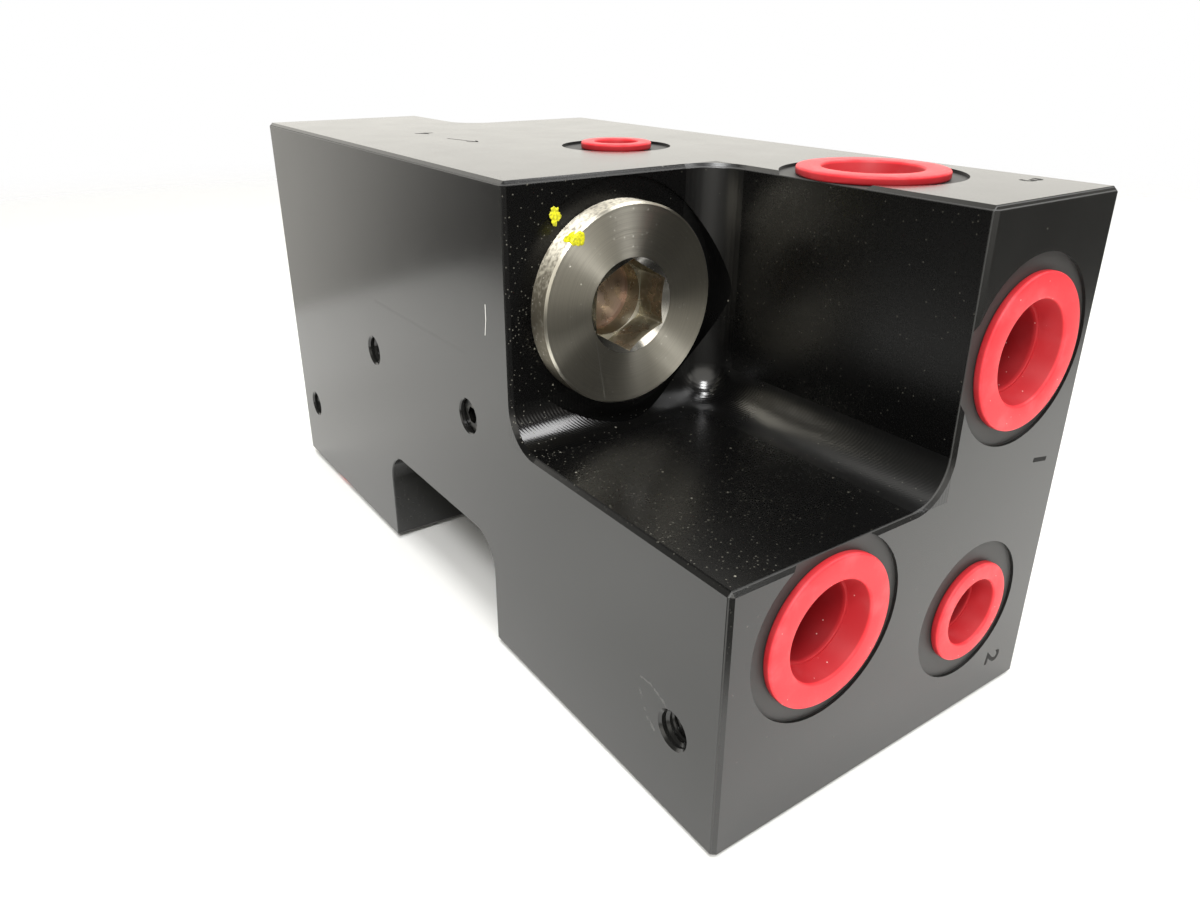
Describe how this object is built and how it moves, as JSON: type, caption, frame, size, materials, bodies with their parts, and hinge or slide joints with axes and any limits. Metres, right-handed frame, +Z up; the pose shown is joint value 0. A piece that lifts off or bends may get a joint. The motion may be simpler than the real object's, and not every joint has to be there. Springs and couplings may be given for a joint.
{
  "type": "hydraulic manifold block",
  "caption": "Black anodised hydraulic manifold block with a milled corner pocket, a channel below, a steel bore plug and red port caps.",
  "frame": {"origin": "centre of the whole part's bounding box at its lowest level, where the bottom cap's flange rests", "axes": "+Z up, +Y along the block's length from the end with the three front ports to the stepped end, +X across it from the face with the tapped holes to the opposite face"},
  "size_m": [0.1016, 0.237, 0.1238],
  "materials": {
    "anodised_block": "black anodised, satin",
    "plug_steel": "turned, bright",
    "seal_rubber": "moulded",
    "gallery_steel": "black oxide",
    "cap_plastic": "moulded, soft sheen"
  },
  "bodies": {
    "root": {"manifold_block": "anodised_block", "bore_plug": "plug_steel", "bore_plug_seal": "seal_rubber", "gallery_plug": "gallery_steel", "front_upper_cap": "cap_plastic", "front_lower_cap": "cap_plastic", "front_small_cap": "cap_plastic", "top_large_cap": "cap_plastic", "top_small_cap": "cap_plastic", "bottom_cap": "cap_plastic"}
  },
  "joints": []
}
